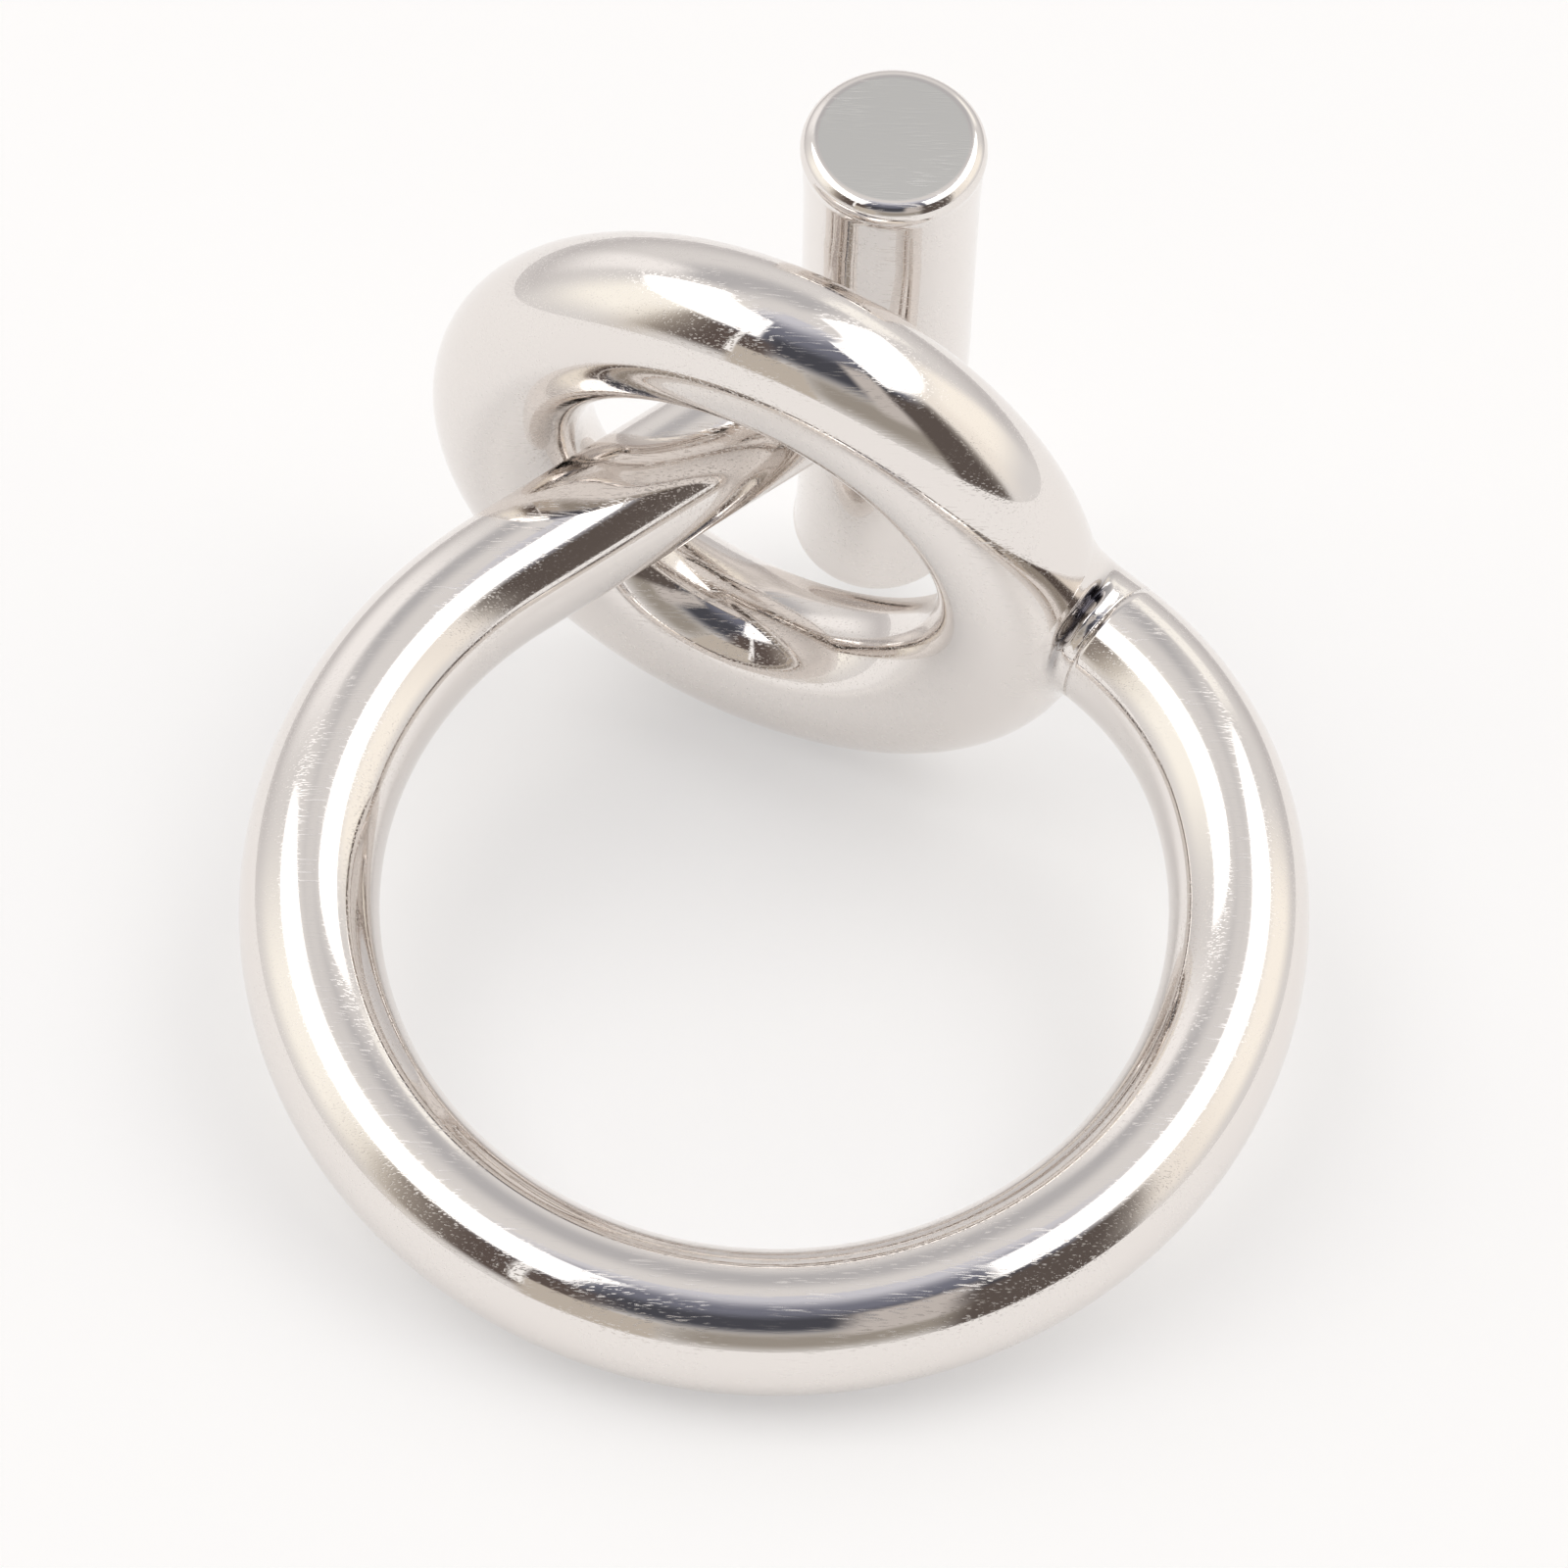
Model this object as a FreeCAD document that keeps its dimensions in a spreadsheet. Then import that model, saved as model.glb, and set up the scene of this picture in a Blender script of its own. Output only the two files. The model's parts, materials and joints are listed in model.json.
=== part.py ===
import FreeCAD, Part
import Sketcher

import os

# A finger ring in the form of a toggle clasp, in solid silver.  A round wire is bent into
# a band.  One end of the band is soldered to the rim of a thicker, closed ring (the eye).
# The other end runs straight through the eye to the middle of a short round bar.
#
# Everything is drawn in the band's own coordinates: the centre of the finger hole is the
# origin, the band's wire runs round it in the XY plane, the eye and the bar are on the +Y
# side, and Z is the way the finger goes.  The last step lays the whole ring on a table.
# Lengths are in millimetres and angles in degrees.

DIMENSIONS = (
    # the band
    ("finger_radius", 9.0, "inside of the band to the centre of the finger hole"),
    ("wire_radius", 1.6, "half the thickness of the band's wire"),
    ("run_start", 127.4, "angle round the band where it leaves the circle and runs straight"),
    ("run_length", 11.2, "straight run, from the circle to the middle of the bar"),
    ("bend_start", 14.6, "angle round the band where the other end starts to turn in"),
    ("bend_radius", 8.4, "centre-line radius of that tighter end bend"),
    ("bend_sweep", 49.7, "angle of the end bend, up to the middle of the eye's rim"),
    # the eye
    ("eye_place", 92.3, "angle round the band where the centre of the eye lies"),
    ("eye_facing", 66.0, "direction of the eye's axis, measured from +X"),
    ("eye_radius", 6.65, "centre-line radius of the eye"),
    ("eye_wire_radius", 1.92, "half the thickness of the eye's wire"),
    # the toggle bar
    ("bar_radius", 2.06, "radius along the middle of the bar"),
    ("bar_end_radius", 2.16, "radius at the slightly flared ends"),
    ("bar_length", 16.5, "length over both flat ends"),
    ("flare_length", 2.3, "how far from each end the flare begins"),
    ("bar_edge_round", 0.42, "radius of the rounded edge of each end"),
    # the solder
    ("solder_gap", 0.28, "space filed at both ends of the band for the solder to fill"),
    ("eye_solder_radius", 0.55, "hollow of the solder between the band and the eye"),
    ("bar_solder_radius", 0.4, "hollow of the solder between the band and the bar"),
    # how the ring lies on a table, on the band and on the rim of the eye
    ("rest_tilt", 18.28, "how far the finger axis leans back about X"),
    ("rest_roll", 2.57, "how far it then leans to one side about Y"),
)

# Formulas over the sheet that more than one sub-part needs.
BAND_RADIUS = "(Sheet.finger_radius + Sheet.wire_radius)"
EYE_X = BAND_RADIUS + " * cos(Sheet.eye_place)"
EYE_Y = BAND_RADIUS + " * sin(Sheet.eye_place)"
BAR_X = BAND_RADIUS + " * cos(Sheet.run_start) + Sheet.run_length * sin(Sheet.run_start)"
BAR_Y = BAND_RADIUS + " * sin(Sheet.run_start) - Sheet.run_length * cos(Sheet.run_start)"

FULL_TURN = 360.0
X_AXIS = FreeCAD.Vector(1, 0, 0)
Y_AXIS = FreeCAD.Vector(0, 1, 0)
Z_AXIS = FreeCAD.Vector(0, 0, 1)
ORIGIN = FreeCAD.Vector(0, 0, 0)
TINY = 1e-4


def make_sheet(doc):
    """Write the driving dimensions into a spreadsheet, one alias a row."""
    sheet = doc.addObject("Spreadsheet::Sheet", "Sheet")
    for row, (alias, value, meaning) in enumerate(DIMENSIONS, start=1):
        sheet.set("A%d" % row, alias)
        sheet.set("B%d" % row, str(value))
        sheet.set("C%d" % row, meaning)
        sheet.setAlias("B%d" % row, alias)
    doc.recompute()
    return sheet


def make_body(doc, label):
    """An empty body whose label names its file."""
    body = doc.addObject("PartDesign::Body", label)
    body.Label = label
    return body


def plane_of(body, role):
    """One of a body's own origin planes."""
    for feature in body.Origin.OriginFeatures:
        if feature.Role == role:
            return feature
    raise ValueError("no origin plane called " + role)


def add_sketch(body, name, role, turn_axis=Z_AXIS, turn=None, shift=()):
    """A sketch on an origin plane.  Its turn and shift in that plane follow the sheet."""
    sketch = body.newObject("Sketcher::SketchObject", name)
    sketch.AttachmentSupport = [(plane_of(body, role), "")]
    sketch.MapMode = "FlatFace"
    sketch.AttachmentOffset = FreeCAD.Placement(ORIGIN, FreeCAD.Rotation(turn_axis, 1.0))
    sketch.setExpression("AttachmentOffset.Rotation.Angle", turn or "0")
    for coordinate, formula in shift:
        sketch.setExpression("AttachmentOffset.Base." + coordinate, formula)
    return sketch


def dimension(sketch, name, kind, arguments, value, formula):
    """Add a named dimension to a sketch and bind it to the sheet."""
    index = sketch.addConstraint(Sketcher.Constraint(kind, *arguments, value))
    sketch.renameConstraint(index, name)
    sketch.setExpression("Constraints." + name, formula)


def add_wire_section(sketch, distance, distance_formula, radius, radius_formula):
    """Draw the round section of a wire on the sketch's X axis, away from its Y axis."""
    centre = FreeCAD.Vector(distance, 0, 0)
    circle = sketch.addGeometry(Part.Circle(centre, Z_AXIS, radius), False)
    sketch.addConstraint(Sketcher.Constraint("PointOnObject", circle, 3, -1))
    dimension(sketch, "centre_line", "DistanceX", (-1, 1, circle, 3), distance, distance_formula)
    dimension(sketch, "wire", "Radius", (circle,), radius, radius_formula)


def revolve(body, name, sketch, axis, angle, kind="Revolution"):
    """Turn a sketch about one of its own axes, through an angle bound to the sheet."""
    feature = body.newObject("PartDesign::" + kind, name)
    feature.Profile = sketch
    feature.ReferenceAxis = (sketch, [axis])
    feature.Reversed = False
    feature.Angle = FULL_TURN / 2
    feature.setExpression("Angle", angle)
    sketch.Visibility = False
    return feature


def add_eye_section(body, name, sheet, radius, radius_formula):
    """A round section on the eye's centre line, in a sketch whose Y axis is the eye's axis."""
    sketch = add_sketch(
        body, name, "XY_Plane", Z_AXIS, "Sheet.eye_facing - 90", (("x", EYE_X), ("y", EYE_Y))
    )
    add_wire_section(sketch, sheet.eye_radius, "Sheet.eye_radius", radius, radius_formula)
    return sketch


def make_shank(doc, sheet):
    """The band: most of a circle of round wire, a straight run at one end, a bend at the other.

    The blank, which is the band before its ends are filed, is handed back with it.
    """
    body = make_body(doc, "shank")
    band_radius = sheet.finger_radius + sheet.wire_radius

    # The sketches stand on the XZ plane, turned about Z to where a stretch begins.
    start = add_sketch(body, "run_section", "XZ_Plane", Y_AXIS, "Sheet.run_start")
    add_wire_section(start, band_radius, BAND_RADIUS, sheet.wire_radius, "Sheet.wire_radius")
    run = body.newObject("PartDesign::Pad", "straight_run")
    run.Profile = start
    run.Length = sheet.run_length
    run.setExpression("Length", "Sheet.run_length")

    circle = add_sketch(body, "circle_section", "XZ_Plane", Y_AXIS, "Sheet.run_start")
    add_wire_section(circle, band_radius, BAND_RADIUS, sheet.wire_radius, "Sheet.wire_radius")
    revolve(body, "circle_arc", circle, "V_Axis", "360 - Sheet.run_start + Sheet.bend_start")

    bend = add_sketch(
        body,
        "bend_section",
        "XZ_Plane",
        Y_AXIS,
        "Sheet.bend_start",
        (
            ("x", "(" + BAND_RADIUS + " - Sheet.bend_radius) * cos(Sheet.bend_start)"),
            ("z", "-(" + BAND_RADIUS + " - Sheet.bend_radius) * sin(Sheet.bend_start)"),
        ),
    )
    add_wire_section(
        bend, sheet.bend_radius, "Sheet.bend_radius", sheet.wire_radius, "Sheet.wire_radius"
    )
    revolve(body, "end_bend", bend, "V_Axis", "Sheet.bend_sweep")

    # Both ends are filed hollow, a little clear of the round surfaces they are soldered to.
    blank = body.Tip
    eye_seat = sheet.eye_wire_radius + sheet.solder_gap
    eye = add_eye_section(
        body, "eye_seat_section", sheet, eye_seat, "Sheet.eye_wire_radius + Sheet.solder_gap"
    )
    revolve(body, "eye_seat", eye, "V_Axis", "360", kind="Groove")

    bar_seat = sheet.bar_radius + sheet.solder_gap
    bar = add_sketch(body, "bar_seat_section", "XY_Plane", shift=(("x", BAR_X), ("y", BAR_Y)))
    hole = bar.addGeometry(Part.Circle(ORIGIN, Z_AXIS, bar_seat), False)
    bar.addConstraint(Sketcher.Constraint("Coincident", hole, 3, -1, 1))
    dimension(bar, "seat", "Radius", (hole,), bar_seat, "Sheet.bar_radius + Sheet.solder_gap")
    seat = body.newObject("PartDesign::Pocket", "bar_seat")
    seat.Profile = bar
    seat.Midplane = True
    seat.Length = sheet.bar_length
    seat.setExpression("Length", "Sheet.bar_length")
    return body, blank


def make_eye(doc, sheet):
    """The closed ring that the straight run passes through."""
    body = make_body(doc, "eye_ring")
    section = add_eye_section(
        body, "eye_section", sheet, sheet.eye_wire_radius, "Sheet.eye_wire_radius"
    )
    revolve(body, "eye", section, "V_Axis", "360")
    return body


def make_bar(doc, sheet):
    """The toggle bar: a round bar along Z, a little flared at its ends, with rounded edges."""
    body = make_body(doc, "toggle_bar")
    sketch = add_sketch(
        body, "bar_outline", "XZ_Plane", shift=(("x", BAR_X), ("z", "-(" + BAR_Y + ")"))
    )
    half = sheet.bar_length / 2
    neck = half - sheet.flare_length

    # One half of the outline, from the axis at mid-length round to the flat end.
    corners = (
        ORIGIN,
        FreeCAD.Vector(sheet.bar_radius, 0, 0),
        FreeCAD.Vector(sheet.bar_radius, neck, 0),
        FreeCAD.Vector(sheet.bar_end_radius, half, 0),
        FreeCAD.Vector(0, half, 0),
    )
    sides = []
    for first, second in zip(corners, corners[1:] + corners[:1]):
        sides.append(sketch.addGeometry(Part.LineSegment(first, second), False))
    for this_side, next_side in zip(sides, sides[1:] + sides[:1]):
        sketch.addConstraint(Sketcher.Constraint("Coincident", this_side, 2, next_side, 1))
    middle, side, flare, end, axis = sides
    sketch.addConstraint(Sketcher.Constraint("Coincident", middle, 1, -1, 1))
    sketch.addConstraint(Sketcher.Constraint("Horizontal", middle))
    sketch.addConstraint(Sketcher.Constraint("Vertical", side))
    sketch.addConstraint(Sketcher.Constraint("Horizontal", end))
    sketch.addConstraint(Sketcher.Constraint("Vertical", axis))
    dimension(
        sketch, "middle_radius", "DistanceX", (middle, 1, middle, 2), sheet.bar_radius,
        "Sheet.bar_radius",
    )
    dimension(
        sketch, "end_radius", "DistanceX", (end, 2, end, 1), sheet.bar_end_radius,
        "Sheet.bar_end_radius",
    )
    dimension(
        sketch, "half_length", "DistanceY", (axis, 2, axis, 1), half, "Sheet.bar_length / 2"
    )
    dimension(
        sketch, "flare", "DistanceY", (flare, 1, flare, 2), sheet.flare_length,
        "Sheet.flare_length",
    )
    half_bar = revolve(body, "half_bar", sketch, "V_Axis", "360")
    both = body.newObject("PartDesign::Mirrored", "whole_bar")
    both.Originals = [half_bar]
    both.MirrorPlane = (plane_of(body, "XY_Plane"), [""])
    body.Tip = both
    doc.recompute()

    edges = round_edges(both.Shape, sheet.bar_end_radius, half)
    rim = body.newObject("PartDesign::Fillet", "rounded_ends")
    rim.Base = (both, edges)
    rim.Radius = sheet.bar_edge_round
    rim.setExpression("Radius", "Sheet.bar_edge_round")
    return body


def round_edges(shape, radius, height):
    """The names of the circular edges of one radius at one height above and below z = 0."""
    names = []
    for number, edge in enumerate(shape.Edges, start=1):
        centre = edge.BoundBox.Center
        same_height = abs(abs(centre.z) - height) < TINY
        same_radius = abs(edge.BoundBox.XLength / 2 - radius) < TINY
        if same_height and same_radius:
            names.append("Edge%d" % number)
    return names


def shared_edges(whole, first, second):
    """The numbers of the edges of a fused shape that lie on both of the shapes it came from."""
    numbers = []
    for number, edge in enumerate(whole.Edges, start=1):
        middle = Part.Vertex(edge.valueAt((edge.FirstParameter + edge.LastParameter) / 2))
        on_first = middle.distToShape(first)[0] < TINY
        on_second = middle.distToShape(second)[0] < TINY
        if on_first and on_second:
            numbers.append(number)
    return numbers


def make_solder(doc, label, blank, shank, other, radius):
    """The solder of a joint: the layer between the filed end and the piece it is joined to,
    and the hollow fillet round it.

    The blank is fused with the other piece and the edge where they meet is filleted.  Then
    both finished pieces are taken away.  That leaves the solder and what was filed off the
    far end, and the solder is the smaller of the two.  A Part::Fillet object doesn't take
    the edge that runs round the eye, so the same steps are done on the shapes.
    """
    pair = blank.Shape.fuse(other.Shape)
    numbers = shared_edges(pair, blank.Shape, other.Shape)
    filled = pair.makeFillet(radius, [pair.Edges[number - 1] for number in numbers])
    left_over = filled.cut([other.Shape, shank.Shape]).Solids
    solder = doc.addObject("Part::Feature", label)
    solder.Label = label
    solder.Shape = min(left_over, key=lambda solid: solid.Volume)
    return solder


def resting_place(pieces, sheet):
    """The placement that lays the ring on a table, with its origin under its middle."""
    tilt = FreeCAD.Rotation(X_AXIS, sheet.rest_tilt)
    roll = FreeCAD.Rotation(Y_AXIS, -sheet.rest_roll)
    turn = roll.multiply(tilt)
    turned = Part.makeCompound([piece.Shape for piece in pieces])
    turned.Placement = FreeCAD.Placement(ORIGIN, turn)
    box = turned.optimalBoundingBox(False, False)
    shift = FreeCAD.Vector(-box.Center.x, -box.Center.y, -box.ZMin)
    return FreeCAD.Placement(shift, turn)


def check(doc, pieces):
    """Stop before anything is written if an object failed or a shape isn't sound."""
    for thing in doc.Objects:
        if "Invalid" in thing.State or "Error" in thing.State:
            raise RuntimeError(thing.Label + " failed to compute")
    for piece in pieces:
        if piece.Shape.isNull() or not piece.Shape.isValid():
            raise RuntimeError(piece.Label + " has no sound shape")
        if len(piece.Shape.Solids) != 1:
            raise RuntimeError(piece.Label + " isn't one solid")


def main():
    doc = FreeCAD.newDocument("toggle_ring")
    sheet = make_sheet(doc)
    shank, blank = make_shank(doc, sheet)
    eye = make_eye(doc, sheet)
    bar = make_bar(doc, sheet)
    doc.recompute()
    eye_solder = make_solder(doc, "eye_solder", blank, shank, eye, sheet.eye_solder_radius)
    bar_solder = make_solder(doc, "bar_solder", blank, shank, bar, sheet.bar_solder_radius)

    pieces = (shank, eye, bar, eye_solder, bar_solder)
    place = resting_place(pieces, sheet)
    for piece in pieces:
        piece.Placement = place
    doc.recompute()
    check(doc, pieces)

    os.makedirs("parts", exist_ok=True)
    for piece in pieces:
        piece.Shape.exportStep(os.path.join("parts", piece.Label + ".step"))
        print(piece.Label, "%.3f mm3" % piece.Shape.Volume)
    print("placement", place)


main()
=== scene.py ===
# %% [markdown]
# # A silver toggle ring
#
# This lesson dresses a finished CAD model of a finger ring.  The ring is three lengths of
# round silver: a band, a closed eye and a short bar, with solder at both joints.  Polished
# silver has almost no colour of its own.  What shows in it is the room, bent round the
# metal, so a good part of this lesson is about what stands round the ring.

# %% Load the frame
import json
import math

import bmesh
import bpy
from mathutils import Matrix, Quaternion, Vector


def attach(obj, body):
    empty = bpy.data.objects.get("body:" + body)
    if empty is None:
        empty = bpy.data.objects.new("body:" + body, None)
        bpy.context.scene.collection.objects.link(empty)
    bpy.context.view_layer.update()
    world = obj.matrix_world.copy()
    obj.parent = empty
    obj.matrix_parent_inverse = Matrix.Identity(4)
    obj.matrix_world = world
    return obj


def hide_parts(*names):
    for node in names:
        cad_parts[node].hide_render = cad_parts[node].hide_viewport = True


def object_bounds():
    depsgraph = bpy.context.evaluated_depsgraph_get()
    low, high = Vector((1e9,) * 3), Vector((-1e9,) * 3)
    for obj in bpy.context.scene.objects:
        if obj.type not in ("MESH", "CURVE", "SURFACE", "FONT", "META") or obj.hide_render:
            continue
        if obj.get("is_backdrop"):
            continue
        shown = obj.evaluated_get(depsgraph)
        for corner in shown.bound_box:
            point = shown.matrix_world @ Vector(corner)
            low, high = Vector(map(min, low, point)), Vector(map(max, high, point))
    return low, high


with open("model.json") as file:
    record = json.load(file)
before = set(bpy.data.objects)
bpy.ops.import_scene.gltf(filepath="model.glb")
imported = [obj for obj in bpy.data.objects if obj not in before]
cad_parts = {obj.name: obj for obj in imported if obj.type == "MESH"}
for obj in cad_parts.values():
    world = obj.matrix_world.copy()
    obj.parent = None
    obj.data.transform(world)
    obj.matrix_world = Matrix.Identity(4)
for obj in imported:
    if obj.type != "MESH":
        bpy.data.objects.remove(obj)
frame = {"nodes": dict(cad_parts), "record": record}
cad_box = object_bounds()
nodes = frame["nodes"]
scene = bpy.context.scene
MM = 0.001
print("nodes", sorted(nodes), "CAD box", cad_box)

# %% [markdown]
# ## The camera
#
# A ring is small, so the camera has a long lens and stands about a hand's length away.  It
# looks down on the table from the plain side of the band.  It is set by the point it aims
# at, how far round and how high it stands, and how much it leans, because those are the
# numbers that are easy to picture and to change.  A track-to constraint could aim it too,
# but a rotation worked out once is easier to read back.

# %% Camera
aim = Vector((0.40, 5.50, 0.0)) * MM
CAMERA_ROUND = math.radians(-2.35)
CAMERA_HEIGHT = math.radians(42.38)
CAMERA_LEAN = math.radians(4.42)
CAMERA_DISTANCE = 128.03 * MM

towards_camera = Vector(
    (
        math.sin(CAMERA_ROUND) * math.cos(CAMERA_HEIGHT),
        -math.cos(CAMERA_ROUND) * math.cos(CAMERA_HEIGHT),
        math.sin(CAMERA_HEIGHT),
    )
)
turn = towards_camera.to_track_quat("Z", "Y") @ Quaternion((0, 0, 1), CAMERA_LEAN)
camera_data = bpy.data.cameras.new("ring_camera")
camera_data.sensor_width = 36.0
camera_data.lens = 118.6
camera_data.clip_start = 1 * MM
camera = bpy.data.objects.new("ring_camera", camera_data)
camera.location = aim + towards_camera * CAMERA_DISTANCE
camera.rotation_mode = "QUATERNION"
camera.rotation_quaternion = turn
scene.collection.objects.link(camera)
scene.camera = camera
scene.view_settings.view_transform = "Standard"
scene.view_settings.look = "None"
print("camera at", [round(v / MM, 2) for v in camera.location], "mm")

# %% [markdown]
# ## Two helpers for materials
#
# Colours are written as the hex codes that a paint program shows, and one function turns
# them into the linear numbers that light is worked out in.  A second small function adds a
# node, sets it up and wires it, so that each material reads as a list of its steps.


# %% Colour and node helpers
def linear(code):
    """A hex colour as linear red, green, blue and an alpha of 1, by the sRGB curve."""
    values = []
    for start in (0, 2, 4):
        value = int(code[start:start + 2], 16) / 255
        low = value / 12.92
        high = ((value + 0.055) / 1.055) ** 2.4
        values.append(low if value <= 0.04045 else high)
    return (*values, 1.0)


def add_node(tree, kind, links=(), inputs=(), **settings):
    """Add a node: settings are its properties, inputs its values, links its incoming wires."""
    node = tree.nodes.new(kind)
    for name, value in settings.items():
        setattr(node, name, value)
    for name, value in inputs:
        node.inputs[name].default_value = value
    for name, socket in links:
        tree.links.new(socket, node.inputs[name])
    return node


def new_tree(owner):
    """Switch a material or world to nodes and empty it."""
    owner.use_nodes = True
    owner.node_tree.nodes.clear()
    return owner.node_tree


print("mid grey is", [round(v, 3) for v in linear("808080")])

# %% [markdown]
# ## The table
#
# The ring lies on a sheet of white acrylic with a lamp under it, as jewellery often does.
# The lamp washes out most of the shadow and lights the silver from below.  A big flat grid
# is enough: the acrylic is matt, glows a little by itself and takes light from above.  It
# lies a hair lower than the ring, so that the two skins never share a plane.


# %% Table
TABLE_GLOW = 0.33
TABLE_REACH = 12.0
TABLE_DROP = 0.02 * MM


def new_material(name):
    """A material with an empty node tree, and that tree."""
    material = bpy.data.materials.new(name)
    return material, new_tree(material)


backlit_acrylic, tree = new_material("backlit_white_acrylic")
shader = add_node(
    tree,
    "ShaderNodeBsdfPrincipled",
    inputs=(
        ("Base Color", linear("D8D6D4")),
        ("Roughness", 0.9),
        ("Emission Color", linear("FAFCFF")),
        ("Emission Strength", TABLE_GLOW),
    ),
)
add_node(tree, "ShaderNodeOutputMaterial", links=(("Surface", shader.outputs[0]),))

board = bmesh.new()
bmesh.ops.create_grid(board, x_segments=1, y_segments=1, size=TABLE_REACH)
table_mesh = bpy.data.meshes.new("table")
board.to_mesh(table_mesh)
board.free()
table = bpy.data.objects.new("table", table_mesh)
scene.collection.objects.link(table)
table.data.materials.append(backlit_acrylic)
table.location.z = -TABLE_DROP
table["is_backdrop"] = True
print("the table is", 2 * TABLE_REACH, "m wide and glows at", TABLE_GLOW)

# %% [markdown]
# ## The room round the ring
#
# The room is painted on the world, which costs little to render and stays still when the
# camera moves.  Each direction from the ring is two angles: how far round from straight
# behind the ring, clockwise, and how high above the table.  The room starts as plain light
# grey, and each panel in the list is laid over what is there, with soft edges: two big
# softboxes, cream reflectors under them, and the dark side where the camera stands.
# Area lights could do the same, but a list of panels is easier to read and to tune.

# %% Room
ROOM_LIGHT = 1.24
ROOM_GREY = "D4D2D1"
BACKDROP_WHITE = "FAF9F8"
SOFTBOX = 1.8
# (around, half of it, height, half of it, softness, all in degrees, colour, strength)
PANELS = (
    # the ceiling, and the wall behind the ring
    (-5, 41, 61, 13, 20, "B1B0B2", 1.0),
    (-41, 11, 28, 25, 14, "EEECEB", 1.0),
    (34, 10, 38, 8, 7, "F5F3EE", 1.0),
    (0, 61, 8, 9, 30, "BAB7B7", 1.0),
    # cream reflectors under the softboxes
    (-98, 24, 42, 29, 26, "F7F4EC", 1.0),
    (90, 27, 30, 16, 18, "F6F1E8", 1.0),
    # the side where the camera stands, darkest below eye level
    (159, 39, 17, 13, 18, "948E86", 1.0),
    (180, 50, 59, 24, 18, "70727F", 1.0),
    (180, 68, 85, 10, 20, "C5C6CF", 1.0),
    (-185, 35, 44, 12, 14, "46474E", 1.0),
    (161, 9, 38, 16, 7, "BAB4B0", 1.0),
    # dark stands, with pale edges
    (-135, 19, 27, 18, 10, "5A504C", 1.0),
    (-117, 3, 21, 24, 30, "C3BBB0", 1.0),
    (136, 17, 21, 22, 8, "58504C", 1.0),
    (111, 7, 32, 25, 24, "E8E2DA", 1.0),
    (-152, 11, 14, 13, 3, "B6AEA4", 1.0),
    (-141, 1.2, 32, 17, 1, "F0EFEE", 1.0),
    # softboxes
    (-104, 43, 59, 13, 5, "FFFFFF", SOFTBOX),
    (97, 50, 60, 12.5, 5, "FFFFFF", SOFTBOX),
)
print("the room has", len(PANELS), "panels")

# %% [markdown]
# ## Two angles for every direction
#
# A world has no surface to lay a pattern on, so its Generated coordinates are the direction
# that a ray leaves in.  An arctangent gives how far round that is, and an arcsine gives how
# high.  A panel is then a band of one angle times a band of the other.

# %% Directions
world = bpy.data.worlds.new("studio_room")
scene.world = world
tree = new_tree(world)
place = add_node(tree, "ShaderNodeTexCoord")
axes = add_node(tree, "ShaderNodeSeparateXYZ", links=(("Vector", place.outputs["Generated"]),))
around = add_node(
    tree, "ShaderNodeMath", links=((0, axes.outputs["X"]), (1, axes.outputs["Y"])),
    operation="ARCTAN2",
)
around = add_node(tree, "ShaderNodeMath", links=((0, around.outputs[0]),), operation="DEGREES")
height = add_node(tree, "ShaderNodeMath", links=((0, axes.outputs["Z"]),), operation="ARCSINE")
height = add_node(tree, "ShaderNodeMath", links=((0, height.outputs[0]),), operation="DEGREES")


def within(angle, middle, half, soft, turns):
    """1 inside a band of angles and 0 outside it, with a soft step between.

    turns is true for an angle that comes round to itself after a full turn.
    """
    off = add_node(
        tree, "ShaderNodeMath", links=((0, angle),), inputs=((1, middle),), operation="SUBTRACT"
    )
    if turns:
        off = add_node(
            tree, "ShaderNodeMath", links=((0, off.outputs[0]),), inputs=((1, 180), (2, -180)),
            operation="WRAP",
        )
    far = add_node(tree, "ShaderNodeMath", links=((0, off.outputs[0]),), operation="ABSOLUTE")
    step = add_node(
        tree,
        "ShaderNodeMapRange",
        links=(("Value", far.outputs[0]),),
        inputs=(("From Min", half - soft / 2), ("From Max", half + soft / 2),
                ("To Min", 1), ("To Max", 0)),
        interpolation_type="SMOOTHSTEP",
    )
    return step.outputs[0]


print("directions are measured with", len(tree.nodes), "nodes")

# %% [markdown]
# ## Laying the panels over each other
#
# Each panel is one mix node over all the panels before it, so the order of the list is the
# order of the layers, as in a paint program.  The camera's own rays get a plain backdrop
# instead, because a white page is wanted behind the ring and not the studio.

# %% Paint the room
room = add_node(tree, "ShaderNodeRGB")
room.outputs[0].default_value = linear(ROOM_GREY)
colour = room.outputs[0]
for middle, half, middle_height, half_height, soft, code, strength in PANELS:
    wide = within(around.outputs[0], middle, half, soft, True)
    tall = within(height.outputs[0], middle_height, half_height, soft, False)
    amount = add_node(
        tree, "ShaderNodeMath", links=((0, wide), (1, tall)), operation="MULTIPLY"
    )
    paint = add_node(tree, "ShaderNodeRGB")
    red, green, blue, full = linear(code)
    paint.outputs[0].default_value = (red * strength, green * strength, blue * strength, full)
    # A mix node keeps its colours in sockets 6 and 7, and hands the mixed one on in socket 2.
    layer = add_node(tree, "ShaderNodeMix", data_type="RGBA")
    tree.links.new(amount.outputs[0], layer.inputs[0])
    tree.links.new(colour, layer.inputs[6])
    tree.links.new(paint.outputs[0], layer.inputs[7])
    colour = layer.outputs[2]
studio = add_node(
    tree, "ShaderNodeBackground", links=(("Color", colour),), inputs=(("Strength", ROOM_LIGHT),)
)
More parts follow.
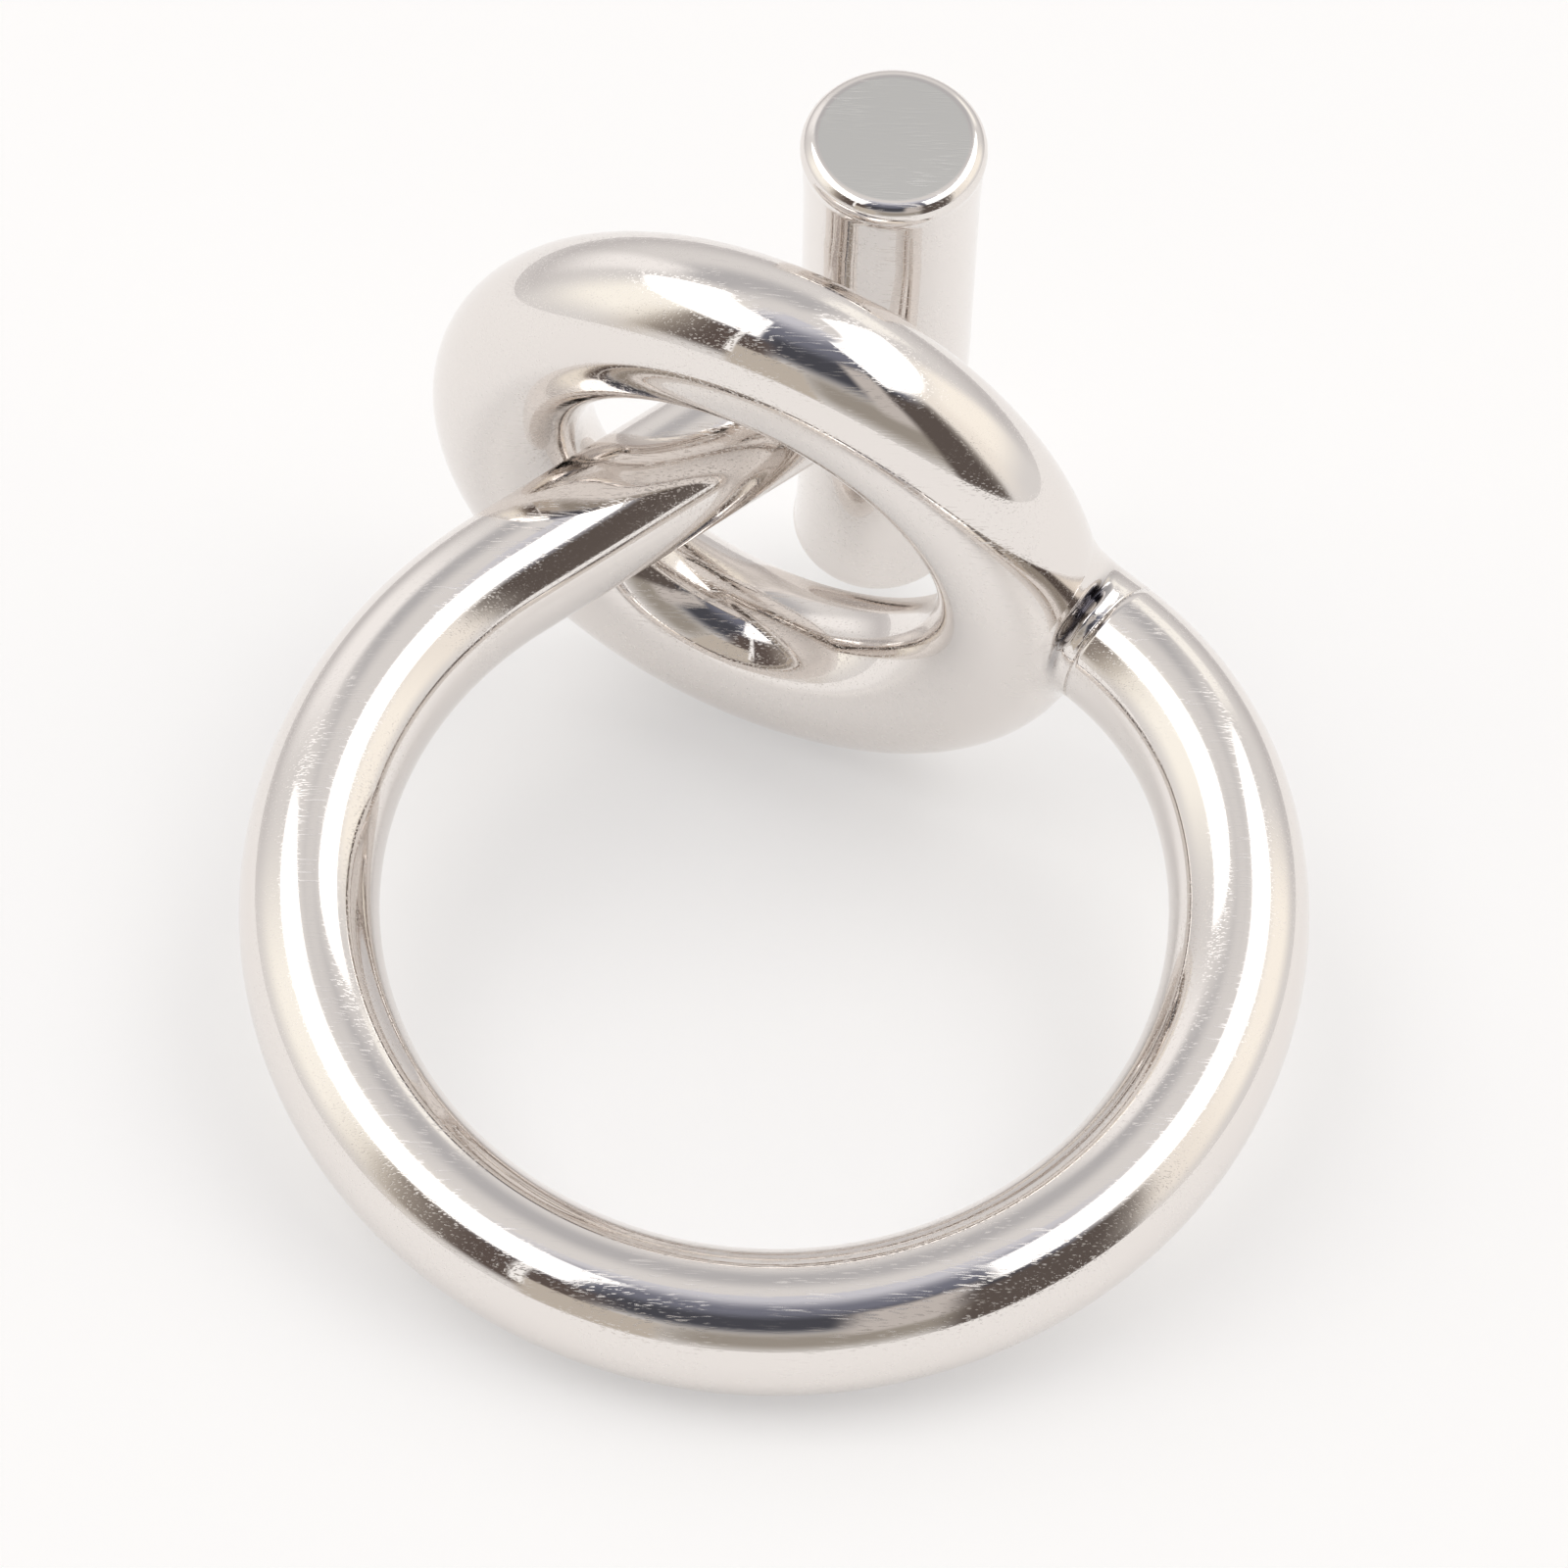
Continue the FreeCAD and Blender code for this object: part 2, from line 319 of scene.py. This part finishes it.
backdrop = add_node(
    tree, "ShaderNodeBackground", inputs=(("Color", linear(BACKDROP_WHITE)), ("Strength", 1.0))
)
path = add_node(tree, "ShaderNodeLightPath")
either = add_node(
    tree,
    "ShaderNodeMixShader",
    links=((0, path.outputs["Is Camera Ray"]), (1, studio.outputs[0]), (2, backdrop.outputs[0])),
)
add_node(tree, "ShaderNodeOutputWorld", links=(("Surface", either.outputs[0]),))
print("the room is painted with", len(tree.nodes), "nodes")

# %% [markdown]
# ## Polished sterling silver
#
# Sterling silver is 92.5 parts silver and 7.5 parts copper, which makes it hard enough to
# wear and a touch warm.  The wire was bent, soldered and then polished on a cloth wheel, so
# it is a mirror.  Wear adds hairlines, which catch the light as pale flecks where the silver
# mirrors something dark.  On a mirror a hairline is a rougher line and a faint dent.  Three
# sets of long thin noise, each turned its own way, make the hairlines, and a softer noise
# thins them out in places.  They are drawn about twice as wide as real ones, which are too
# fine to show.

# %% Hairlines
HAIRLINE_LONG = 0.9
HAIRLINE_WIDE = 0.035
HAIRLINE_DEEP = 0.002
HAIRLINE_EDGE = 0.12
WORN_PATCH = 3.5
WORN_LEAST = 0.30
WORN_MOST = 0.52
HAIRLINE_TURNS = ((20, 35, 0), (70, -20, 55), (-35, 80, 110))


def hairlines(tree, thin):
    """A map of hairlines, 1 on a line and 0 off it.  A higher thin leaves fewer of them."""
    place = add_node(tree, "ShaderNodeTexCoord")
    lines = None
    for turns in HAIRLINE_TURNS:
        stretched = add_node(
            tree,
            "ShaderNodeMapping",
            links=(("Vector", place.outputs["Object"]),),
            inputs=(
                ("Rotation", tuple(math.radians(turn) for turn in turns)),
                ("Scale", (1 / (HAIRLINE_LONG * MM), 1 / (HAIRLINE_WIDE * MM),
                           1 / (HAIRLINE_WIDE * MM))),
            ),
        )
        streaks = add_node(
            tree,
            "ShaderNodeTexNoise",
            links=(("Vector", stretched.outputs[0]),),
            inputs=(("Scale", 1.0), ("Detail", 0.0)),
        )
        line = add_node(
            tree,
            "ShaderNodeMapRange",
            links=(("Value", streaks.outputs["Fac"]),),
            inputs=(("From Min", thin), ("From Max", thin + HAIRLINE_EDGE)),
        )
        if lines is None:
            lines = line.outputs[0]
        else:
            both = add_node(
                tree, "ShaderNodeMath", links=((0, lines), (1, line.outputs[0])),
                operation="MAXIMUM",
            )
            lines = both.outputs[0]
    patches = add_node(
        tree,
        "ShaderNodeTexNoise",
        links=(("Vector", place.outputs["Object"]),),
        inputs=(("Scale", 1 / (WORN_PATCH * MM)), ("Detail", 2.0)),
    )
    worn = add_node(
        tree,
        "ShaderNodeMapRange",
        links=(("Value", patches.outputs["Fac"]),),
        inputs=(("From Min", WORN_LEAST), ("From Max", WORN_MOST)),
    )
    shown = add_node(
        tree, "ShaderNodeMath", links=((0, lines), (1, worn.outputs[0])), operation="MULTIPLY"
    )
    return shown.outputs[0]


print("a hairline is", HAIRLINE_LONG, "mm long and", HAIRLINE_WIDE, "mm wide")

# %% [markdown]
# ## Three finishes of the same silver
#
# The wire and the bar's side are mirror-polished.  The flat ends of the bar were rubbed on
# fine paper, so they are a cloudier mirror.  The solder is polished as well as a wheel can
# reach, and the bottom of its crease is painted darker, as painted shade in a dark hollow.
# That painted shade follows an attribute that its mesh carries, so it lies just where the
# crease is deep.


# %% Silver
def silver(name, code, polish, scratched, thin, relief, crease_shade_colour=None):
    """A silver finish: its colour, and the roughness of its polish and of its hairlines.

    A higher thin leaves fewer hairlines, and relief is how strongly they dent the skin.
    The last argument is a painted shade colour for the bottom of a crease, for a piece with a
    crease map.
    """
    material, tree = new_material(name)
    lines = hairlines(tree, thin)
    roughness = add_node(
        tree,
        "ShaderNodeMapRange",
        links=(("Value", lines),),
        inputs=(("To Min", polish), ("To Max", scratched)),
    )
    dents = add_node(
        tree,
        "ShaderNodeBump",
        links=(("Height", lines),),
        inputs=(("Strength", relief), ("Distance", HAIRLINE_DEEP * MM)),
        invert=True,
    )
    shader = add_node(
        tree,
        "ShaderNodeBsdfPrincipled",
        links=(("Roughness", roughness.outputs[0]), ("Normal", dents.outputs[0])),
        inputs=(("Base Color", linear(code)), ("Metallic", 1.0)),
    )
    if crease_shade_colour:
        # Painted shade: the base colour darkens where the crease attribute says the crease is
        # deep.
        deep = add_node(tree, "ShaderNodeAttribute", attribute_name="crease")
        shade = add_node(tree, "ShaderNodeValToRGB", links=(("Fac", deep.outputs["Fac"]),))
        shade.color_ramp.elements[0].color = linear(code)
        shade.color_ramp.elements[1].color = linear(crease_shade_colour)
        tree.links.new(shade.outputs["Color"], shader.inputs["Base Color"])
    add_node(tree, "ShaderNodeOutputMaterial", links=(("Surface", shader.outputs[0]),))
    return material


SILVER_COLOUR = "EAE5E1"
polished_silver = silver(
    "polished_sterling_silver", SILVER_COLOUR, polish=0.035, scratched=0.36, thin=0.68, relief=0.3
)
rubbed_silver = silver(
    "rubbed_flat_silver", "E4E3DF", polish=0.10, scratched=0.30, thin=0.66, relief=0.5
)
solder_silver = silver(
    "polished_silver_solder", SILVER_COLOUR, polish=0.04, scratched=0.36, thin=0.68, relief=0.3,
    # The colour of the painted shade at the bottom of the solder's crease.
    crease_shade_colour="5A5860",
)
print("silver reflects", [round(v, 3) for v in linear(SILVER_COLOUR)[:3]])

# %% [markdown]
# ## Where the ring lies
#
# The ring was drawn flat and then laid on the table, so its band leans.  It is easiest to
# build each piece flat too, in millimetres round the middle of the finger hole, and to lay
# it down at the end with one matrix.  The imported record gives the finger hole's middle and
# axis, and those two are enough to work the matrix out.

# %% The ring's own frame
finger_hole = frame["record"]["mounts"][0]
finger_axis = Vector(finger_hole["axis"]).normalized()
sideways = Vector((0, 1, 0)).cross(finger_axis).normalized()
towards_bar = finger_axis.cross(sideways)
lie_down = (
    Matrix.Translation(finger_hole["pos_m"])
    @ Matrix((sideways, towards_bar, finger_axis)).transposed().to_4x4()
    @ Matrix.Scale(MM, 4)
)
print("the finger hole leans", round(math.degrees(finger_axis.angle((0, 0, 1))), 2), "degrees")

# %% [markdown]
# ## From a bmesh to a finished piece
#
# Every piece ends the same way.  Its normals are turned outwards, it is laid on the table,
# its faces are shaded smooth, it is named and tied to the ring's body, and the CAD node that
# it stands for is hidden.  Polished metal shows every facet, so these pieces have far more
# faces than the CAD meshes that they replace, and their sizes are the ones the CAD was drawn to.


# %% Helpers for pieces
def loop_edges(geometry):
    """The edges among what a bmesh operator made."""
    return [item for item in geometry if isinstance(item, bmesh.types.BMEdge)]


def extend(shape, loop, step=(0, 0, 0)):
    """Extrude a closed loop of edges once.  Hands back the new loop and its vertices."""
    made = bmesh.ops.extrude_edge_only(shape, edges=loop)["geom"]
    fresh = [item for item in made if isinstance(item, bmesh.types.BMVert)]
    bmesh.ops.translate(shape, verts=fresh, vec=step)
    known = set(fresh)
    return [edge for edge in loop_edges(made) if known.issuperset(edge.verts)], fresh


def close_end(shape, loop):
    """Close the end of a tube with a fan of faces that meet in its middle."""
    _, rim = extend(shape, loop)
    middle = sum((vert.co for vert in rim), Vector()) / len(rim)
    bmesh.ops.pointmerge(shape, verts=rim, merge_co=middle)


def finish_piece(shape, name, node, *materials):
    """Lay a bmesh on the table and make it an object that stands for a CAD node."""
    bmesh.ops.recalc_face_normals(shape, faces=shape.faces)
    bmesh.ops.transform(shape, matrix=lie_down, verts=shape.verts)
    for face in shape.faces:
        face.smooth = True
    mesh = bpy.data.meshes.new(name)
    shape.to_mesh(mesh)
    shape.free()
    piece = bpy.data.objects.new(name, mesh)
    scene.collection.objects.link(piece)
    for material in materials:
        mesh.materials.append(material)
    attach(piece, "root")
    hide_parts(node)
    triangles = sum(len(face.vertices) - 2 for face in mesh.polygons)
    print(name, "has", triangles, "triangles")


# %% [markdown]
# ## The band
#
# The band is one round wire, 3.2 mm thick; every length from here on is in millimetres.
# Its straight run starts behind the eye, then it goes most of the way round the finger, and
# its last stretch turns in more tightly to meet the eye.  A curve with a round bevel could
# draw it too.  Spinning a circle keeps each stretch a true arc, with one circle of vertices
# shared between neighbours, so the reflections run across the seams without a kink.

# %% Band
WIRE = 1.6
BAND_RADIUS = 10.6
RUN_START = math.radians(127.4)
RUN_LENGTH = 11.2
BEND_START = math.radians(14.6)
BEND_RADIUS = 8.4
BEND_SWEEP = math.radians(49.7)
EYE_WIRE = 1.92
BAR_RADIUS = 2.06
WIRE_SIDES = 96
AROUND_STEPS = 200
BEND_STEPS = 28
RUN_STEPS = 24
EYE_SOLDER_LENGTH = 0.45
BAR_SOLDER_LENGTH = 0.40
Z_AXIS = Vector((0, 0, 1))


def on_circle(angle, radius=1.0):
    """A point in the plane of the band, an angle round from +X."""
    return Vector((math.cos(angle), math.sin(angle), 0)) * radius


def along_circle(angle):
    """The direction of travel, anticlockwise, at an angle round from +X."""
    return Vector((-math.sin(angle), math.cos(angle), 0))


run_direction = -along_circle(RUN_START)
run_end = on_circle(RUN_START, BAND_RADIUS) + run_direction * RUN_LENGTH
bend_centre = on_circle(BEND_START, BAND_RADIUS - BEND_RADIUS)
solder_turn = (EYE_WIRE + EYE_SOLDER_LENGTH) / BEND_RADIUS
band_sweep = BEND_SWEEP - solder_turn
band_end_angle = BEND_START + band_sweep
band_end = bend_centre + on_circle(band_end_angle, BEND_RADIUS)

shape = bmesh.new()
bmesh.ops.create_circle(shape, segments=WIRE_SIDES, radius=WIRE)
bmesh.ops.rotate(shape, verts=shape.verts, matrix=Matrix.Rotation(math.pi / 2, 3, "X"))
bmesh.ops.translate(shape, verts=shape.verts, vec=(BAND_RADIUS, 0, 0))
bmesh.ops.rotate(shape, verts=shape.verts, matrix=Matrix.Rotation(RUN_START, 3, "Z"))
first_loop = list(shape.edges)

around_finger = 2 * math.pi - RUN_START + BEND_START
spun = bmesh.ops.spin(
    shape, geom=first_loop, cent=(0, 0, 0), axis=Z_AXIS, dvec=(0, 0, 0),
    angle=around_finger, steps=AROUND_STEPS, use_merge=False, use_duplicate=False,
)
spun = bmesh.ops.spin(
    shape, geom=loop_edges(spun["geom_last"]), cent=bend_centre, axis=Z_AXIS, dvec=(0, 0, 0),
    angle=band_sweep, steps=BEND_STEPS, use_merge=False, use_duplicate=False,
)
close_end(shape, loop_edges(spun["geom_last"]))

run_visible = RUN_LENGTH - BAR_RADIUS - BAR_SOLDER_LENGTH
loop = first_loop
for _ in range(RUN_STEPS):
    loop, _ = extend(shape, loop, run_direction * run_visible / RUN_STEPS)
close_end(shape, loop)
finish_piece(shape, "band", "shank", polished_silver)

# %% [markdown]
# ## The eye
#
# The eye is a closed ring of thicker wire, 3.84 mm, and the run of the band passes through
# it.  Blender has a torus, but it is an editor's tool and not a bmesh one.  A full spin of
# a circle makes the same shape.  The spin merges its last circle with its first, so the
# skin has no seam.

# %% Eye
EYE_RADIUS = 6.65
EYE_PLACE = math.radians(92.3)
EYE_FACING = math.radians(66)
EYE_SIDES = 112
EYE_STEPS = 240
eye_middle = on_circle(EYE_PLACE, BAND_RADIUS)
eye_axis = on_circle(EYE_FACING)

shape = bmesh.new()
bmesh.ops.create_circle(shape, segments=EYE_SIDES, radius=EYE_WIRE)
bmesh.ops.rotate(shape, verts=shape.verts, matrix=Matrix.Rotation(math.pi / 2, 3, "X"))
bmesh.ops.translate(shape, verts=shape.verts, vec=(EYE_RADIUS, 0, 0))
bmesh.ops.spin(
    shape, geom=list(shape.edges), cent=(0, 0, 0), axis=Z_AXIS, dvec=(0, 0, 0),
    angle=2 * math.pi, steps=EYE_STEPS, use_merge=True, use_duplicate=False,
)
bmesh.ops.rotate(
    shape, verts=shape.verts, matrix=Z_AXIS.rotation_difference(eye_axis).to_matrix()
)
bmesh.ops.translate(shape, verts=shape.verts, vec=eye_middle)
finish_piece(shape, "eye", "eye_ring", polished_silver)

# %% [markdown]
# ## The bar
#
# The bar is turned from round rod.  It swells a little towards its ends, and the edges of
# the flat ends are rounded over.  A cylinder is the start.  Plane cuts give it rings where
# it swells, the rings are scaled, and the two rims are bevelled in ten small steps.  Each
# flat end gets one thin inset, so that smooth shading stops at the rim and the flat stays
# flat in the mirror.

# %% Bar
BAR_LENGTH = 16.5
BAR_END_RADIUS = 2.16
SWELL_LENGTH = 2.3
SWELL_POWER = 1.6
SWELL_STEPS = 10
EDGE_ROUND = 0.42
EDGE_STEPS = 10
FLAT_INSET = 0.03
BAR_SIDES = 144
TINY = 1e-5

shape = bmesh.new()
bmesh.ops.create_cone(
    shape, cap_ends=True, segments=BAR_SIDES, radius1=BAR_RADIUS, radius2=BAR_RADIUS,
    depth=BAR_LENGTH,
)
# The last cut stays clear of the edge that is rounded over.
neck = BAR_LENGTH / 2 - SWELL_LENGTH
last_cut = BAR_LENGTH / 2 - EDGE_ROUND * 1.2
cuts = [neck + (last_cut - neck) * step / SWELL_STEPS for step in range(SWELL_STEPS + 1)]
for cut in [0] + cuts + [-cut for cut in cuts]:
    bmesh.ops.bisect_plane(
        shape, geom=shape.verts[:] + shape.edges[:] + shape.faces[:], dist=TINY / 10,
        plane_co=(0, 0, cut), plane_no=Z_AXIS,
    )
for vert in shape.verts:
    past = max(abs(vert.co.z) - neck, 0) / SWELL_LENGTH
    wider = 1 + (BAR_END_RADIUS / BAR_RADIUS - 1) * past ** SWELL_POWER
    vert.co.x *= wider
    vert.co.y *= wider
rims = [
    edge for edge in shape.edges
    if all(abs(abs(vert.co.z) - BAR_LENGTH / 2) < TINY for vert in edge.verts)
]
bmesh.ops.bevel(
    shape, geom=rims, offset=EDGE_ROUND, offset_type="OFFSET", segments=EDGE_STEPS, profile=0.5,
    affect="EDGES", material=-1, clamp_overlap=False,
)
flats = [face for face in shape.faces if len(face.verts) > 4]
for face in flats:
    face.material_index = 1
bmesh.ops.inset_individual(shape, faces=flats, thickness=FLAT_INSET)
bmesh.ops.translate(shape, verts=shape.verts, vec=run_end)
finish_piece(shape, "bar", "toggle_bar", polished_silver, rubbed_silver)

# %% [markdown]
# ## The solder
#
# Each joint is soldered: silver solder is drawn into the gap, and its skin sweeps from one
# piece to the other.  Round the eye's joint it flares widely, and where it meets the end of
# the band it leaves a crease that the polishing wheel didn't reach.  A fillet tool can't
# make that uneven flare.  Here a loop of edges is extruded step by step, and each loop is
# moved on to a curve that leaves the wire straight on and lands on the other piece's skin.
# How deep the crease is at a vertex is stored in an attribute, for the painted shade in the
# crease.

# %% Solder flares
AROUND_JOINT = 144
FLARE_STEPS = 32
CORNER_TRIES = 30
CORNER_STEP = 0.8
START_INSIDE = 0.3
START_WIDTH = 0.6
SUNK = 0.004
END_INSIDE = 0.35
CREASE_WIDTH = 0.10
DEEP_CREASE = 0.22


def next_loop(shape, loop, angle_of):
    """Extrude a loop in place and pass each vertex's angle round the joint on to its copy."""
    loop, fresh = extend(shape, loop)
    known = set(fresh)
    for vert in fresh:
        for edge in vert.link_edges:
            other = edge.other_vert(vert)
            if other not in known:
                angle_of[vert] = angle_of[other]
    return loop, fresh


def solder_flare(name, node, start, along, onwards, middle_of, radius, foot, crease):
    """Solder that sweeps from the end of the wire, at start, on to a rounder piece.

    onwards moves a point along the line of the wire.  middle_of gives the nearest point on
    the other piece's centre line, and radius is how far its skin is from there.  foot and
    crease say, for a direction away from the wire, how far the solder spreads over that
    skin and how deep its crease is.
    """
    across = along.cross(Z_AXIS).normalized()
    shape = bmesh.new()
    # This attribute carries the crease depth, which paints shade into the crease.
    crease_shade_depth = shape.verts.layers.float.new("crease")
    bmesh.ops.create_circle(shape, segments=AROUND_JOINT, radius=1.0)
    angle_of = {vert: math.atan2(vert.co.y, vert.co.x) for vert in shape.verts}
    loop, verts = list(shape.edges), list(shape.verts)

    def outwards(vert):
        angle = angle_of[vert]
        return across * math.cos(angle) + Z_AXIS * math.sin(angle)

    for vert in verts:
        vert.co = start - along * START_INSIDE + outwards(vert) * WIRE * START_WIDTH
    close_loop = loop
    for step in range(FLARE_STEPS + 1):
        loop, verts = next_loop(shape, loop, angle_of)
        share = step / FLARE_STEPS
        for vert in verts:
            out = outwards(vert)
            leaves = start + out * WIRE
            # The corner walks on along the wire until it touches the other piece's skin.
            corner = leaves.copy()
            for _ in range(CORNER_TRIES):
                gap = (corner - middle_of(corner)).length - radius
                corner = onwards(corner, gap * CORNER_STEP)
            lands = corner + out * foot(out)
            middle = middle_of(lands)
            lands = middle + (lands - middle).normalized() * (radius - SUNK)
            # The handle makes the curve leave the wire straight on.
            handle = leaves + along * (corner - leaves).length
            curve = (
                leaves * (1 - share) ** 2 + handle * 2 * share * (1 - share) + lands * share ** 2
            )
            depth, middle_share = crease(out, angle_of[vert])
            dip = depth * math.exp(-(((share - middle_share) / CREASE_WIDTH) ** 2))
            vert.co = curve - (out - along * share).normalized() * dip
            # The crease depth, kept for the painted shade in the crease.
            vert[crease_shade_depth] = min(dip / DEEP_CREASE, 1)
    loop, verts = next_loop(shape, loop, angle_of)
    for vert in verts:
        vert.co = vert.co.lerp(middle_of(vert.co), END_INSIDE)
    close_end(shape, loop)
    close_end(shape, close_loop)
    finish_piece(shape, name, node, solder_silver)


print("a flare has", FLARE_STEPS, "loops of", AROUND_JOINT, "edges")

# %% [markdown]
# ## Two joints
#
# The same function makes both joints, so what differs is handed to it: the line that the
# wire would go on along, the centre line of the piece it meets, how far the solder spreads
# and how deep its crease is.  At the eye the wire is still bending, so its line is an arc.


# %% Joints
def eye_centre_line(point):
    """The nearest point on the circle that runs along the middle of the eye's wire."""
    away = point - eye_middle
    flat = away - eye_axis * away.dot(eye_axis)
    return eye_middle + flat.normalized() * EYE_RADIUS


def onwards_in_bend(point, distance):
    """A point carried on round the end bend."""
    carry = Matrix.Rotation(distance / BEND_RADIUS, 3, "Z")
    return bend_centre + carry @ (point - bend_centre)


def bar_centre_line(point):
    """The nearest point on the axis of the bar."""
    return Vector((run_end.x, run_end.y, point.z))


# The crease is deepest on the side of the joint that faces this way, and fades quickly.
CREASE_FACING = Vector((-0.35, -0.45, 1.0)).normalized()
CREASE_FOCUS = 3.5
CREASE_LEAST = 0.01
CREASE_MOST = 0.32
EYE_FOOT = 0.75
BAR_FOOT = 0.45


def eye_foot(out):
    """How far the solder spreads over the eye: twice as far above and below as at the side."""
    return EYE_FOOT + EYE_FOOT * abs(out.z)


def eye_crease(out, angle):
    """How deep the crease is in this direction, and how far down the flare it lies."""
    faces_up = max(out.dot(CREASE_FACING), 0) ** CREASE_FOCUS
    lumps = 1 + 0.30 * math.sin(4 * angle + 1.0) + 0.22 * math.sin(9 * angle)
    return CREASE_LEAST + CREASE_MOST * faces_up * lumps, 0.34 + 0.10 * faces_up


solder_flare(
    "eye_solder_flare", "eye_solder", band_end, along_circle(band_end_angle), onwards_in_bend,
    eye_centre_line, EYE_WIRE, eye_foot, eye_crease,
)
solder_flare(
    "bar_solder_flare", "bar_solder", run_end - run_direction * (BAR_RADIUS + BAR_SOLDER_LENGTH),
    run_direction, lambda point, distance: point + run_direction * distance, bar_centre_line,
    BAR_RADIUS, lambda out: BAR_FOOT, lambda out, angle: (CREASE_LEAST, 0.3),
)

# %% [markdown]
# ## The size, before and after
#
# Nothing here may change how big the ring is.  The box round the CAD model and the box
# round these pieces are both worked out and their sizes printed, so that they can be compared.

# %% Sizes
boxes = {
    name: [[float(value) for value in corner] for corner in box]
    for name, box in (("cad", cad_box), ("visual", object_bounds()))
}
for name, (low, high) in boxes.items():
    print(name, "box in mm", [round((b - a) / MM, 3) for a, b in zip(low, high)])
